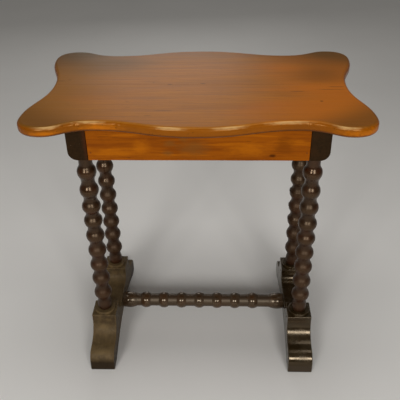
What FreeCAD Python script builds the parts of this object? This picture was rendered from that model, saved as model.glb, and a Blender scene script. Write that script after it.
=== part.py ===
"""Tavern table: a serpentine plank top on two trestle ends of turned legs, tied by a turned stretcher.

The origin is on the floor below the middle of the top. +X runs along the top, -Y is the front and +Z is up.
All sizes are in millimetres.
"""
import FreeCAD, Part
import math
import os

# Whole table
table_height = 737.0
fit_clearance = 0.15
cut_overrun = 10.0

# Top: the dips, lobes and scoops are where its outline turns, set in from the ends of its length and depth
top_length = 754.0
top_depth = 460.0
top_thickness = 24.0
top_upper_round = 9.0
top_lower_round = 8.0
front_dip_depth = 33.0
front_dip_inset = 161.0
front_lobe_inset = 54.0
front_lobe_setback = 2.5
side_scoop_depth = 35.0
side_lobe_inset = 54.0

# How far each turn of the outline keeps its direction, as a share of the stretch to the next turn
front_bulge_share = 0.5
front_dip_inner_share = 0.42
front_dip_outer_share = 0.55
front_lobe_share = 0.4
corner_share = 0.6
side_lobe_share = 0.42
side_scoop_share = 0.5

# Places of the legs' centre lines: in from the ends of the top, and apart from front to rear
leg_overhang = 111.0
leg_gauge = 198.0

# Bobbin-turned leg: its bobbins fill the length between the turned base and the plain neck
bobbin_count = 9
bobbin_radius = 23.5
bobbin_neck_radius = 16.5
bobbin_valley_radius = 21.0
leg_neck_length = 24.0
leg_base_length = 33.5
leg_base_rise = 14.0
leg_base_radius = 19.2
leg_tenon_radius = 11.0
leg_upper_tenon = 55.0
leg_lower_tenon = 45.0
leg_housing_depth = 3.0

# Shoe foot: its height includes the round boss under each leg, which stands on a square seat. Its coves take
# the room that the least upright face of the seat and the least flat of the toe leave them
foot_width = 65.0
foot_length = 426.0
foot_height = 129.0
boss_height = 7.0
boss_side_margin = 4.0
boss_end_margin = 2.0
boss_edge_round = 2.0
seat_face_least = 11.0
toe_height = 51.0
toe_round = 14.0
toe_flat_least = 9.5
toe_pad_length = 36.0
arch_height = 38.0
dip_depth = 38.0
dip_cove_radius = 24.0
foot_edge_round = 2.5

# Bearer over each pair of legs
bearer_width = 60.0
bearer_length = 264.0
bearer_height = 106.0
bearer_lower_round = 22.0

# Apron rails
apron_thickness = 20.0
apron_setback = 1.0
apron_lap = 14.5

# Bobbin-turned stretcher, with as many beads as fit between its end bulbs
stretcher_height = 62.0
stretcher_bead_pitch = 52.0
stretcher_bead_shift = -10.0
stretcher_bead_width = 31.0
stretcher_bulb_place = 17.0
stretcher_bulb_width = 50.0
stretcher_bead_radius = 23.5
stretcher_neck_radius = 17.5
stretcher_valley_radius = 3.0
stretcher_tenon_radius = 11.0
stretcher_tenon_length = 42.0

# Pegs that lock the tenons
peg_radius = 3.5
peg_end_margin = 7.0
leg_peg_depth = 32.0

# Wood screws that hold the top down
screw_inner_place = 30.0
screw_outer_place = 64.0
screw_head_radius = 4.5
screw_head_height = 3.5
screw_shank_radius = 2.4
screw_length = 52.0
screw_bite = 15.0

# Nails at the apron ends
nail_head_radius = 2.3
nail_head_height = 1.2
nail_shank_radius = 1.1
nail_length = 42.0
nail_edge_distance = 20.0

# Glue blocks behind the aprons
glue_block_length = 70.0
glue_block_leg = 24.0
glue_block_bearer_gap = 51.0

# Levels and places that follow from the sizes above
top_underside = table_height - top_thickness
bearer_bottom = top_underside - bearer_height
leg_x = top_length / 2 - leg_overhang
leg_y = leg_gauge / 2
foot_inner_x = leg_x - foot_width / 2
boss_radius = foot_width / 2 - boss_side_margin
seat_half_length = boss_radius + boss_end_margin
seat_top = foot_height - boss_height
seat_end = leg_y + seat_half_length
cove_radius = min(seat_top - seat_face_least - toe_height,
                  foot_length / 2 - toe_round - toe_flat_least - seat_end)
bearer_inner_x = leg_x - bearer_width / 2
bearer_front = bearer_length / 2
apron_half_length = bearer_inner_x + apron_lap
apron_outer_y = bearer_front - apron_setback
apron_inner_y = apron_outer_y - apron_thickness
leg_peg_upper_z = bearer_bottom + leg_peg_depth
leg_peg_lower_z = foot_height - leg_peg_depth
stretcher_peg_x = foot_inner_x + stretcher_tenon_length / 2

SIDES = {"left": -1, "right": 1}
ROWS = {"front": -1, "rear": 1}


def vector(x, y, z):
    """Point or direction in the table's frame."""
    return FreeCAD.Vector(x, y, z)


def block(x_span, y_span, z_span):
    """Box between the lower and upper end of each span, given in either order."""
    lows = [min(span) for span in (x_span, y_span, z_span)]
    sizes = [abs(span[1] - span[0]) for span in (x_span, y_span, z_span)]
    return Part.makeBox(*sizes, vector(*lows))


def rod(radius, start, end):
    """Round bar between two points."""
    run = end - start
    return Part.makeCylinder(radius, run.Length, start, run)


def straight(start, end):
    """Straight edge between two points of a flat outline."""
    return Part.LineSegment(start, end).toShape()


def round_about(centre, start, end):
    """Arc of less than half a circle about a centre, from one point to another."""
    radius = (start - centre).Length
    way = (start - centre) + (end - centre)
    middle = centre + way.normalize() * radius
    return Part.Arc(start, middle, end).toShape()


def swing(start, start_way, end, end_way):
    """Smooth curve between two points that leaves and arrives along the given ways."""
    curve = Part.BezierCurve()
    curve.setPoles([start, start + start_way, end - end_way, end])
    return curve.toShape()


def top_quarter():
    """Edges of the top's outline from the middle of the front round to the middle of the right side."""
    half_length = top_length / 2
    half_depth = top_depth / 2
    bulge = vector(0, -half_depth, 0)
    dip = vector(half_length - front_dip_inset, front_dip_depth - half_depth, 0)
    lobe = vector(half_length - front_lobe_inset, front_lobe_setback - half_depth, 0)
    shoulder = vector(half_length, side_lobe_inset - half_depth, 0)
    scoop = vector(half_length - side_scoop_depth, 0, 0)
    along = vector(1, 0, 0)
    back = vector(0, 1, 0)
    inner_run = dip.x - bulge.x
    outer_run = lobe.x - dip.x
    side_run = scoop.y - shoulder.y
    return [
        swing(bulge, along * inner_run * front_bulge_share,
              dip, along * inner_run * front_dip_inner_share),
        swing(dip, along * outer_run * front_dip_outer_share,
              lobe, along * outer_run * front_lobe_share),
        swing(lobe, along * (shoulder.x - lobe.x) * corner_share,
              shoulder, back * (shoulder.y - lobe.y) * corner_share),
        swing(shoulder, back * side_run * side_lobe_share,
              scoop, back * side_run * side_scoop_share),
    ]


def top_slab():
    """The whole shaped top with its rounded edge, before it is parted into boards."""
    origin = vector(0, 0, 0)
    front_right = Part.Compound(top_quarter())
    front_left = front_right.mirror(origin, vector(1, 0, 0))
    front = Part.Compound(front_right.Edges + front_left.Edges)
    rear = front.mirror(origin, vector(0, 1, 0))
    outline = Part.Wire(Part.__sortEdges__(front.Edges + rear.Edges))
    slab = Part.Face(outline).extrude(vector(0, 0, top_thickness))
    slab.translate(vector(0, 0, top_underside))
    upper = [edge for edge in slab.Edges if edge.BoundBox.ZMin > table_height - top_upper_round]
    slab = slab.makeFillet(top_upper_round, upper)
    lower = [edge for edge in slab.Edges if edge.BoundBox.ZMax < top_underside + top_lower_round]
    return slab.makeFillet(top_lower_round, lower)


def screw_places():
    """Places of the top screws, as points on the underside of the top."""
    reaches = (-screw_outer_place, -screw_inner_place, screw_inner_place, screw_outer_place)
    return [vector(side * leg_x, reach, top_underside) for side in SIDES.values() for reach in reaches]


def screw_form(place, growth):
    """One countersunk screw, head down, at a place on the top's underside, grown by a clearance."""
    tip = place + vector(0, 0, screw_bite + growth)
    seat = tip - vector(0, 0, screw_length + growth)
    head = Part.makeCone(screw_head_radius + growth, screw_shank_radius + growth, screw_head_height, seat)
    return head.fuse(rod(screw_shank_radius + growth, seat, tip)).removeSplitter()


def top_boards():
    """The two planks of the top, with pilot holes for the screws."""
    slab = top_slab()
    for place in screw_places():
        slab = slab.cut(screw_form(place, fit_clearance))
    reach_x = top_length / 2 + cut_overrun
    reach_y = top_depth / 2 + cut_overrun
    z_span = (top_underside - cut_overrun, table_height + cut_overrun)
    return {
        "top_board_" + row: slab.common(block((-reach_x, reach_x), (0, sign * reach_y), z_span))
        for row, sign in ROWS.items()
    }


def nail_places(row_sign):
    """Places of one apron's nails, as points on its outer face."""
    reach = apron_half_length - apron_lap / 2
    levels = (bearer_bottom + nail_edge_distance, top_underside - nail_edge_distance)
    return [vector(side * reach, row_sign * apron_outer_y, level)
            for side in SIDES.values() for level in levels]


def nail_form(place, row_sign, growth):
    """One nail driven inwards from a place on an apron's outer face, grown by a clearance."""
    inward = vector(0, -row_sign, 0)
    head = rod(nail_head_radius + growth, place, place + inward * (nail_head_height + growth))
    shank = rod(nail_shank_radius + growth, place, place + inward * (nail_length + growth))
    return head.fuse(shank).removeSplitter()


def apron(row_sign):
    """One long rail under the top, with its nail holes."""
    rail = block((-apron_half_length, apron_half_length),
                 (row_sign * apron_inner_y, row_sign * apron_outer_y),
                 (bearer_bottom, top_underside))
    for place in nail_places(row_sign):
        rail = rail.cut(nail_form(place, row_sign, fit_clearance))
    return rail


def leg_axis(side_sign, row_sign):
    """Point on the floor under a leg's centre line."""
    return vector(side_sign * leg_x, row_sign * leg_y, 0)


def peg_ends(side_sign, place, level):
    """Ends of a peg driven outwards along X through a leg's tenon, from an inner face to past the tenon."""
    inner = vector(side_sign * place, 0, level)
    outer = vector(side_sign * (leg_x + leg_tenon_radius + peg_end_margin), 0, level)
    return inner, outer


def leg_peg(side_sign, row_sign, place, level, growth):
    """One peg through a leg's tenon, grown by a clearance."""
    inner, outer = peg_ends(side_sign, place, level)
    across = vector(0, row_sign * leg_y, 0)
    past = vector(side_sign * growth, 0, 0)
    return rod(peg_radius + growth, inner + across, outer + across + past)


def bearer(side_sign):
    """Beam over one pair of legs, rabbeted for the aprons and bored for the legs, pegs, screws and nails."""
    outer_x = bearer_inner_x + bearer_width
    beam = block((side_sign * bearer_inner_x, side_sign * outer_x),
                 (-bearer_front, bearer_front), (bearer_bottom, top_underside))
    lower_outer = [edge for edge in beam.Edges
                   if edge.BoundBox.ZMax < bearer_bottom + fit_clearance
                   and abs(edge.CenterOfMass.x) > outer_x - fit_clearance]
    beam = beam.makeFillet(bearer_lower_round, lower_outer)
    rabbet_end = apron_half_length + fit_clearance
    for row_sign in ROWS.values():
        rabbet = block((side_sign * (bearer_inner_x - cut_overrun), side_sign * rabbet_end),
                       (row_sign * (apron_inner_y - fit_clearance), row_sign * (bearer_front + cut_overrun)),
                       (bearer_bottom - cut_overrun, top_underside + cut_overrun))
        floor_point = leg_axis(side_sign, row_sign)
        mouth = floor_point + vector(0, 0, bearer_bottom - cut_overrun)
        housing = rod(bobbin_neck_radius + fit_clearance, mouth,
                      floor_point + vector(0, 0, bearer_bottom + leg_housing_depth))
        socket = rod(leg_tenon_radius + fit_clearance, mouth,
                     floor_point + vector(0, 0, bearer_bottom + leg_upper_tenon + fit_clearance))
        peg_hole = leg_peg(side_sign, row_sign, bearer_inner_x, leg_peg_upper_z, fit_clearance)
        for cutter in (rabbet, housing, socket, peg_hole):
            beam = beam.cut(cutter)
        for place in nail_places(row_sign):
            beam = beam.cut(nail_form(place, row_sign, fit_clearance))
    for place in screw_places():
        below = place - vector(0, 0, bearer_height + cut_overrun)
        seat = place - vector(0, 0, screw_length - screw_bite)
        counterbore = rod(screw_head_radius + fit_clearance, below, seat)
        beam = beam.cut(counterbore).cut(screw_form(place, fit_clearance))
    return beam


def bead_edges(centre, half_width, crown, neck, valley, low=None, high=None):
    """Outline of one turned bead in the plane of radius and height.

    It runs from the valley below the bead to the valley above it. A bead that is cut short starts at the
    height `low` or ends at the height `high` on its belly instead.
    """
    hollow = neck + valley
    belly = (half_width ** 2 + (hollow - crown) ** 2 - valley ** 2) / (2 * (crown - neck))
    inset = crown - belly
    reach = math.hypot(half_width, hollow - inset)
    touch_radius = inset + belly * (hollow - inset) / reach
    touch_rise = belly * half_width / reach
    belly_centre = vector(inset, 0, centre)

    def belly_point(height):
        """Point of the bead's belly at a height."""
        return vector(inset + math.sqrt(belly ** 2 - (height - centre) ** 2), 0, height)

    def valley_arc(way):
        """Point where the belly ends below (-1) or above (1), with the arc on from it to the neck."""
        touch = vector(touch_radius, 0, centre + way * touch_rise)
        end = vector(neck, 0, centre + way * half_width)
        hollow_centre = vector(hollow, 0, centre + way * half_width)
        ends = (touch, end) if way > 0 else (end, touch)
        return touch, [round_about(hollow_centre, *ends)]

    start, lower = valley_arc(-1) if low is None else (belly_point(low), [])
    finish, upper = valley_arc(1) if high is None else (belly_point(high), [])
    return lower + [round_about(belly_centre, start, finish)] + upper


def turn_from(edges, lower_tenon, upper_tenon, tenon_radius):
    """Solid turned about Z from the outline between two shoulders, with a round tenon beyond each."""
    first = edges[0].firstVertex(True).Point
    last = edges[-1].lastVertex(True).Point
    corners_below = [vector(0, 0, first.z - lower_tenon), vector(tenon_radius, 0, first.z - lower_tenon),
                     vector(tenon_radius, 0, first.z), first]
    corners_above = [last, vector(tenon_radius, 0, last.z), vector(tenon_radius, 0, last.z + upper_tenon),
                     vector(0, 0, last.z + upper_tenon)]
    below = [straight(a, b) for a, b in zip(corners_below, corners_below[1:])]
    above = [straight(a, b) for a, b in zip(corners_above, corners_above[1:])]
    core = straight(corners_above[-1], corners_below[0])
    outline = Part.Wire(below + edges + above + [core])
    full_turn = 360
    return Part.Face(outline).revolve(vector(0, 0, 0), vector(0, 0, 1), full_turn)


def leg(side_sign, row_sign):
    """Bobbin-turned leg, from its tenon in the foot to its tenon in the bearer."""
    top_valley = bearer_bottom - leg_neck_length
    low_valley = foot_height + leg_base_length
    pitch = (top_valley - low_valley) / bobbin_count
    hollows = (bobbin_neck_radius, bobbin_valley_radius)
    edges = bead_edges(foot_height + leg_base_rise, leg_base_length - leg_base_rise, leg_base_radius, *hollows,
                       low=foot_height)
    for number in range(bobbin_count):
        edges += bead_edges(low_valley + (number + 1 / 2) * pitch, pitch / 2, bobbin_radius, *hollows)
    neck_end = vector(bobbin_neck_radius, 0, bearer_bottom + leg_housing_depth)
    edges.append(straight(edges[-1].lastVertex(True).Point, neck_end))
    turned = turn_from(edges, leg_lower_tenon, leg_upper_tenon - leg_housing_depth, leg_tenon_radius)
    turned.translate(leg_axis(side_sign, row_sign))
    for place, level in ((bearer_inner_x, leg_peg_upper_z), (foot_inner_x, leg_peg_lower_z)):
        turned = turned.cut(leg_peg(side_sign, row_sign, place, level, fit_clearance))
    return turned


def foot_half_outline():
    """Side outline of the rear half of a foot in the YZ plane, from its arch round to its dip."""
    end = foot_length / 2
    pad = end - toe_pad_length
    seat_start = leg_y - seat_half_length
    hollow = seat_end + cove_radius
    dip_floor = seat_top - dip_depth
    dip_end = seat_start - dip_cove_radius
    arch_radius = (pad ** 2 + arch_height ** 2) / (2 * arch_height)
    arch_centre = vector(0, 0, arch_height - arch_radius)
    dip_centre = vector(0, dip_end, dip_floor + dip_cove_radius)
    cove_centre = vector(0, hollow, toe_height + cove_radius)
    toe_centre = vector(0, end - toe_round, toe_height - toe_round)
    return [
        round_about(arch_centre, vector(0, 0, arch_height), vector(0, pad, 0)),
        straight(vector(0, pad, 0), vector(0, end, 0)),
        straight(vector(0, end, 0), vector(0, end, toe_height - toe_round)),
        round_about(toe_centre, vector(0, end, toe_height - toe_round),
                    vector(0, end - toe_round, toe_height)),
        straight(vector(0, end - toe_round, toe_height), vector(0, hollow, toe_height)),
        round_about(cove_centre, vector(0, hollow, toe_height),
                    vector(0, seat_end, toe_height + cove_radius)),
        straight(vector(0, seat_end, toe_height + cove_radius), vector(0, seat_end, seat_top)),
        straight(vector(0, seat_end, seat_top), vector(0, seat_start, seat_top)),
        straight(vector(0, seat_start, seat_top), vector(0, seat_start, dip_floor + dip_cove_radius)),
        round_about(dip_centre, vector(0, seat_start, dip_floor + dip_cove_radius),
                    vector(0, dip_end, dip_floor)),
        straight(vector(0, dip_end, dip_floor), vector(0, 0, dip_floor)),
    ]


def boss(floor_point):
    """Round boss under one leg, with a softened upper rim, let into the seat below it."""
    disc = rod(boss_radius, floor_point + vector(0, 0, seat_top - boss_height),
               floor_point + vector(0, 0, foot_height))
    rim = [edge for edge in disc.Edges if edge.BoundBox.ZMin > seat_top]
    return disc.makeFillet(boss_edge_round, rim)


def foot(side_sign):
    """Shoe foot under one pair of legs, bored for the legs, the stretcher and their pegs."""
    rear_half = Part.Compound(foot_half_outline())
    front_half = rear_half.mirror(vector(0, 0, 0), vector(0, 1, 0))
    outline = Part.Wire(Part.__sortEdges__(rear_half.Edges + front_half.Edges))
    shoe = Part.Face(outline).extrude(vector(foot_width, 0, 0))
    shoe.translate(vector(side_sign * leg_x - foot_width / 2, 0, 0))
    rims = [edge for edge in shoe.Edges
            if edge.BoundBox.XLength < fit_clearance and edge.BoundBox.ZMin > fit_clearance]
    shoe = shoe.makeFillet(foot_edge_round, rims)
    for row_sign in ROWS.values():
        floor_point = leg_axis(side_sign, row_sign)
        socket = rod(leg_tenon_radius + fit_clearance,
                     floor_point + vector(0, 0, foot_height - leg_lower_tenon - fit_clearance),
                     floor_point + vector(0, 0, foot_height + cut_overrun))
        shoe = shoe.fuse(boss(floor_point)).cut(socket)
        shoe = shoe.cut(leg_peg(side_sign, row_sign, foot_inner_x, leg_peg_lower_z, fit_clearance))
    mouth = vector(side_sign * (foot_inner_x - cut_overrun), 0, stretcher_height)
    end = vector(side_sign * (foot_inner_x + stretcher_tenon_length + fit_clearance), 0, stretcher_height)
    shoe = shoe.cut(rod(stretcher_tenon_radius + fit_clearance, mouth, end))
    return shoe.cut(stretcher_peg(side_sign, fit_clearance, cut_overrun))


def stretcher_peg(side_sign, growth, overrun):
    """One upright peg through the stretcher's tenon, grown by a clearance.

    It starts an overrun below the arch of the foot that it is driven into.
    """
    top = stretcher_height + stretcher_tenon_radius + peg_end_margin + growth
    return rod(peg_radius + growth,
               vector(side_sign * stretcher_peg_x, 0, arch_height - overrun),
               vector(side_sign * stretcher_peg_x, 0, top))


def stretcher():
    """Bobbin-turned rail between the inner faces of the feet, with a round tenon at each end."""
    span = 2 * foot_inner_x
    radii = (stretcher_bead_radius, stretcher_neck_radius, stretcher_valley_radius)
    bead_sizes = (stretcher_bead_width / 2, *radii)
    bulb_sizes = (stretcher_bulb_width / 2, *radii)
    bead_room = (stretcher_bulb_width + stretcher_bead_width) / 2 + abs(stretcher_bead_shift)
    steps = math.floor((span - 2 * (stretcher_bulb_place + bead_room)) / stretcher_bead_pitch)
    first_bead = (span - steps * stretcher_bead_pitch) / 2 + stretcher_bead_shift
    beads = [bead_edges(stretcher_bulb_place, *bulb_sizes, low=0)]
    for number in range(steps + 1):
        beads.append(bead_edges(first_bead + number * stretcher_bead_pitch, *bead_sizes))
    beads.append(bead_edges(span - stretcher_bulb_place, *bulb_sizes, high=span))
    edges = []
    for bead in beads:
        if edges:
            edges.append(straight(edges[-1].lastVertex(True).Point, bead[0].firstVertex(True).Point))
        edges += bead
    turned = turn_from(edges, stretcher_tenon_length, stretcher_tenon_length, stretcher_tenon_radius)
    quarter_turn = 90
    turned.rotate(vector(0, 0, 0), vector(0, 1, 0), quarter_turn)
    turned.translate(vector(-foot_inner_x, 0, stretcher_height))
    for side_sign in SIDES.values():
        turned = turned.cut(stretcher_peg(side_sign, fit_clearance, 0))
    return turned


def glue_blocks(row_sign):
    """Three-cornered blocks in the angle between one apron's inner face and the underside of the top."""
    blocks = []
    outer_start = bearer_inner_x - glue_block_bearer_gap - glue_block_length
    for start in (-outer_start - glue_block_length, -glue_block_length / 2, outer_start):
        corner = vector(start, row_sign * apron_inner_y, top_underside)
        below = corner - vector(0, 0, glue_block_leg)
        inside = corner - vector(0, row_sign * glue_block_leg, 0)
        section = Part.Face(Part.makePolygon([corner, below, inside, corner]))
        blocks.append(section.extrude(vector(glue_block_length, 0, 0)))
    return Part.Compound(blocks)


def leg_pegs(place, level):
    """Pegs through the four legs' tenons at one level."""
    return Part.Compound([leg_peg(side, row, place, level, 0)
                          for side in SIDES.values() for row in ROWS.values()])


def table():
    """Every piece of the table by name."""
    pieces = top_boards()
    for row, row_sign in ROWS.items():
        pieces["apron_" + row] = apron(row_sign)
        nails = [nail_form(place, row_sign, 0) for place in nail_places(row_sign)]
        pieces["apron_nails_" + row] = Part.Compound(nails)
        pieces["glue_blocks_" + row] = glue_blocks(row_sign)
    for side, side_sign in SIDES.items():
        pieces["bearer_" + side] = bearer(side_sign)
        pieces["foot_" + side] = foot(side_sign)
        for row, row_sign in ROWS.items():
            pieces["leg_" + row + "_" + side] = leg(side_sign, row_sign)
    pieces["stretcher"] = stretcher()
    pieces["leg_bearer_pegs"] = leg_pegs(bearer_inner_x, leg_peg_upper_z)
    pieces["leg_foot_pegs"] = leg_pegs(foot_inner_x, leg_peg_lower_z)
    pieces["stretcher_pegs"] = Part.Compound([stretcher_peg(side, 0, 0) for side in SIDES.values()])
    pieces["top_screws"] = Part.Compound([screw_form(place, 0) for place in screw_places()])
    return pieces


os.makedirs("parts", exist_ok=True)
for name, shape in table().items():
    shape.exportStep("parts/" + name + ".step")
    print(name, len(shape.Solids), shape.isValid(), round(shape.Volume))
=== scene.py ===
"""Looks of the tavern table: its wood, its wear and its turned and shaped pieces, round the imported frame.

Everything is in metres, in the frame of the part: the origin is on the floor below the middle of the top,
+X runs along the top, -Y is the front and +Z is up.
"""

import logging
import math
from collections.abc import Callable, Sequence
from dataclasses import dataclass
from enum import Enum
from itertools import pairwise

import bmesh
import bpy
from mathutils import Matrix, Vector


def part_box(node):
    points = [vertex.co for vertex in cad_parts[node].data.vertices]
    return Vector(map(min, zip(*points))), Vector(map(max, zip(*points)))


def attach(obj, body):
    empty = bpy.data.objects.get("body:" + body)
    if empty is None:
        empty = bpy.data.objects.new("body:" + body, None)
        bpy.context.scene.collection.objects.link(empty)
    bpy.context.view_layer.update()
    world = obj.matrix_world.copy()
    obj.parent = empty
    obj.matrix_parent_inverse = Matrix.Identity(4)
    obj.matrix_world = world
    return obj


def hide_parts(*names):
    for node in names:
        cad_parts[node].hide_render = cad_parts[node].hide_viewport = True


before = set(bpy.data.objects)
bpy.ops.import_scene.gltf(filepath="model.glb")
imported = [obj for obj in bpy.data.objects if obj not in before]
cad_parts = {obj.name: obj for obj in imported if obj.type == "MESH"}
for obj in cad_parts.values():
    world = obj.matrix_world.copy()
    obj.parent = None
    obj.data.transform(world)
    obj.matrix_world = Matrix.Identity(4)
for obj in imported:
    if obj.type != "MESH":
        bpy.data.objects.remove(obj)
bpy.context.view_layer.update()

log = logging.getLogger("tavern_table")

MM = 0.001
BODY = "root"
PHOTO_WIDTH = 400

# Points closer than the first count as one place, and points of a turning closer than the second are merged
NEAR = MM / 10
WELD = MM / 100

# Edges that bend more than this are seen as edges
EDGE_ANGLE = math.radians(40)

Socket = bpy.types.NodeSocket


class Side(Enum):
    """The two trestle ends, by the sign of X."""

    LEFT = -1
    RIGHT = 1


class Row(Enum):
    """The front and the rear of the table, by the sign of Y."""

    FRONT = -1
    REAR = 1


class Axis(Enum):
    """The way that the grain of a piece runs, by the number of the axis."""

    X = 0
    Y = 1
    Z = 2


def linear(colour: str) -> tuple[float, float, float, float]:
    """Turn an sRGB hex colour into linear light.

    Args:
        colour: Colour as "#RRGGBB".

    Returns:
        Linear red, green, blue and a full alpha.
    """
    parts = [int(colour[start:start + 2], 16) / 255 for start in (1, 3, 5)]
    red, green, blue = (p / 12.92 if p <= 0.04045 else ((p + 0.055) / 1.055) ** 2.4 for p in parts)
    return red, green, blue, 1.0


def deselect_all() -> None:
    """Go to object mode with nothing selected."""
    if bpy.context.mode != "OBJECT":
        bpy.ops.object.mode_set(mode="OBJECT")
    bpy.ops.object.select_all(action="DESELECT")


def make_active(piece: bpy.types.Object) -> None:
    """Select one object alone and make it the active one.

    Args:
        piece: The object.
    """
    deselect_all()
    piece.select_set(True)
    bpy.context.view_layer.objects.active = piece


def edit(piece: bpy.types.Object) -> None:
    """Open one object in edit mode with all of its mesh selected.

    Args:
        piece: The object.
    """
    make_active(piece)
    bpy.ops.object.mode_set(mode="EDIT")
    bpy.ops.mesh.select_all(action="SELECT")


def select_edges(piece: bpy.types.Object, test: Callable[[bmesh.types.BMEdge], bool]) -> None:
    """Select the edges of the open mesh that pass a test, and nothing else.

    Args:
        piece: Object that is open in edit mode.
        test: Says whether an edge is wanted.
    """
    bpy.ops.mesh.select_mode(type="EDGE")
    bpy.ops.mesh.select_all(action="DESELECT")
    mesh = bmesh.from_edit_mesh(piece.data)
    for edge in mesh.edges:
        edge.select_set(test(edge))
    bmesh.update_edit_mesh(piece.data)


def round_edges(piece: bpy.types.Object, test: Callable[[bmesh.types.BMEdge], bool], radius: float,
                segments: int) -> None:
    """Round the edges of the open mesh that pass a test.

    Args:
        piece: Object that is open in edit mode.
        test: Says whether an edge is rounded.
        radius: Radius of the rounding.
        segments: Number of facets across it.
    """
    select_edges(piece, test)
    bpy.ops.mesh.bevel(offset=radius, segments=segments, profile=0.5, affect="EDGES")


def face_outward() -> None:
    """Turn every face of the open mesh outward."""
    bpy.ops.mesh.select_all(action="SELECT")
    bpy.ops.mesh.normals_make_consistent(inside=False)


def move_mesh(piece: bpy.types.Object, way: Vector) -> None:
    """Move the mesh of a piece, while its origin stays the table's own.

    Args:
        piece: The object.
        way: Direction and length of the move.
    """
    edit(piece)
    bpy.ops.transform.translate(value=way)
    deselect_all()


def select_nearest(piece: bpy.types.Object, place: Vector) -> Vector:
    """Select the vertex of the open mesh that lies nearest to a place.

    Args:
        piece: Object that is open in edit mode.
        place: Point in the table's frame.

    Returns:
        The direction that the surface faces there.
    """
    bpy.ops.mesh.select_mode(type="VERT")
    bpy.ops.mesh.select_all(action="DESELECT")
    mesh = bmesh.from_edit_mesh(piece.data)
    nearest = min(mesh.verts, key=lambda vertex: (vertex.co - place).length_squared)
    nearest.select_set(True)
    facing = nearest.normal.copy()
    bmesh.update_edit_mesh(piece.data)
    return facing


def apply_modifier(piece: bpy.types.Object, kind: str, **settings: object) -> None:
    """Add a modifier with its settings and apply it.

    Args:
        piece: Object that gets the modifier.
        kind: Blender's name of the modifier's type.
        settings: Values of the modifier's own properties.
    """
    make_active(piece)
    modifier = piece.modifiers.new(kind.lower(), kind)
    for name, value in settings.items():
        setattr(modifier, name, value)
    bpy.ops.object.modifier_apply(modifier=modifier.name)


def soften(piece: bpy.types.Object, radius: float, segments: int) -> None:
    """Round everything on a piece that is seen as an edge.

    Args:
        piece: The object.
        radius: Radius of the rounding.
        segments: Number of facets across it.
    """
    apply_modifier(piece, "BEVEL", width=radius, segments=segments, limit_method="ANGLE",
                   angle_limit=EDGE_ANGLE)


def draw_line(name: str, points: Sequence[Vector]) -> bpy.types.Object:
    """Draw a chain of edges by extruding one vertex from point to point.

    Args:
        name: Name of the new object.
        points: Places of the chain's vertices, in order.

    Returns:
        The new object, open in edit mode with all of it selected.
    """
    deselect_all()
    bpy.ops.mesh.primitive_plane_add(size=MM)
    piece = bpy.context.object
    piece.name = name
    bpy.ops.object.mode_set(mode="EDIT")
    bpy.ops.mesh.select_mode(type="VERT")
    bpy.ops.mesh.select_all(action="SELECT")
    bpy.ops.mesh.merge(type="CENTER")
    bpy.ops.transform.translate(value=points[0])
    for start, end in pairwise(points):
        bpy.ops.mesh.extrude_vertices_move(TRANSFORM_OT_translate={"value": end - start})
    bpy.ops.mesh.select_all(action="SELECT")
    return piece


def extrude_outline(name: str, outline: Sequence[Vector], way: Vector) -> bpy.types.Object:
    """Fill a closed outline and extrude it into a solid.

    Args:
        name: Name of the new object.
        outline: Corners and points of the outline, in order, with no repeat of the first.
        way: Direction and length of the extrusion.

    Returns:
        The new object in object mode.
    """
    piece = draw_line(name, outline)
    bpy.ops.mesh.edge_face_add()
    bpy.ops.mesh.extrude_region_move(TRANSFORM_OT_translate={"value": way})
    face_outward()
    deselect_all()
    return piece


def turn(name: str, profile: Sequence[Vector], axis: Axis, steps: int) -> bpy.types.Object:
    """Turn a profile about an axis through the origin, as on a lathe.

    Args:
        name: Name of the new object.
        profile: Points of the profile, which starts and ends on the axis.
        axis: Axis of the lathe.
        steps: Number of facets round the turning.

    Returns:
        The new object in object mode.
    """
    piece = draw_line(name, profile)
    way = Vector([float(axis is other) for other in Axis])
    bpy.ops.mesh.spin(steps=steps, angle=2 * math.pi, center=(0, 0, 0), axis=way)
    bpy.ops.mesh.select_all(action="SELECT")
    bpy.ops.mesh.remove_doubles(threshold=WELD)
    face_outward()
    deselect_all()
    return piece


def arc(centre: Vector, start: Vector, end: Vector, steps: int) -> list[Vector]:
    """Sample the shorter arc about a centre.

    Args:
        centre: Middle of the circle.
        start: First point of the arc.
        end: Last point of the arc.
        steps: Number of stretches that the arc is divided into.

    Returns:
        Points along the arc, both ends included.
    """
    first, last = start - centre, end - centre
    radius = first.length
    return [centre + first.slerp(last, step / steps).normalized() * radius for step in range(steps + 1)]


def uneven(piece: bpy.types.Object, size: float, depth: float) -> None:
    """Wear a surface down unevenly, as hand work and age leave it, and nowhere raise it.

    Args:
        piece: Object whose surface is moved.
        size: How far apart the hollows are.
        depth: How deep the deepest of them are.
    """
    hollows = bpy.data.textures.new(piece.name + "_hollows", "CLOUDS")
    hollows.noise_scale = size
    hollows.noise_depth = 1
    apply_modifier(piece, "DISPLACE", texture=hollows, texture_coords="LOCAL",
                   strength=depth, mid_level=1.0)
    bpy.data.textures.remove(hollows)


def finish_piece(piece: bpy.types.Object, material: bpy.types.Material, node: str) -> None:
    """Smooth and dress a finished piece and let it stand for its node of the frame.

    Args:
        piece: The finished object.
        material: Its finish.
        node: Node of the frame that the piece stands for.
    """
    make_active(piece)
    bpy.ops.object.shade_smooth_by_angle(angle=EDGE_ANGLE)
    apply_modifier(piece, "WEIGHTED_NORMAL", keep_sharp=True)
    piece.data.materials.clear()
    piece.data.materials.append(material)
    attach(piece, BODY)
    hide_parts(node)
    deselect_all()
    log.info("%s stands for %s with %d faces", piece.name, node, len(piece.data.polygons))


@dataclass(frozen=True)
class Mark:
    """One spot in the wood or on it: its middle and its half lengths along X, Y and Z, in millimetres."""

    middle: tuple[float, float, float]
    reach: tuple[float, float, float]


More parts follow.
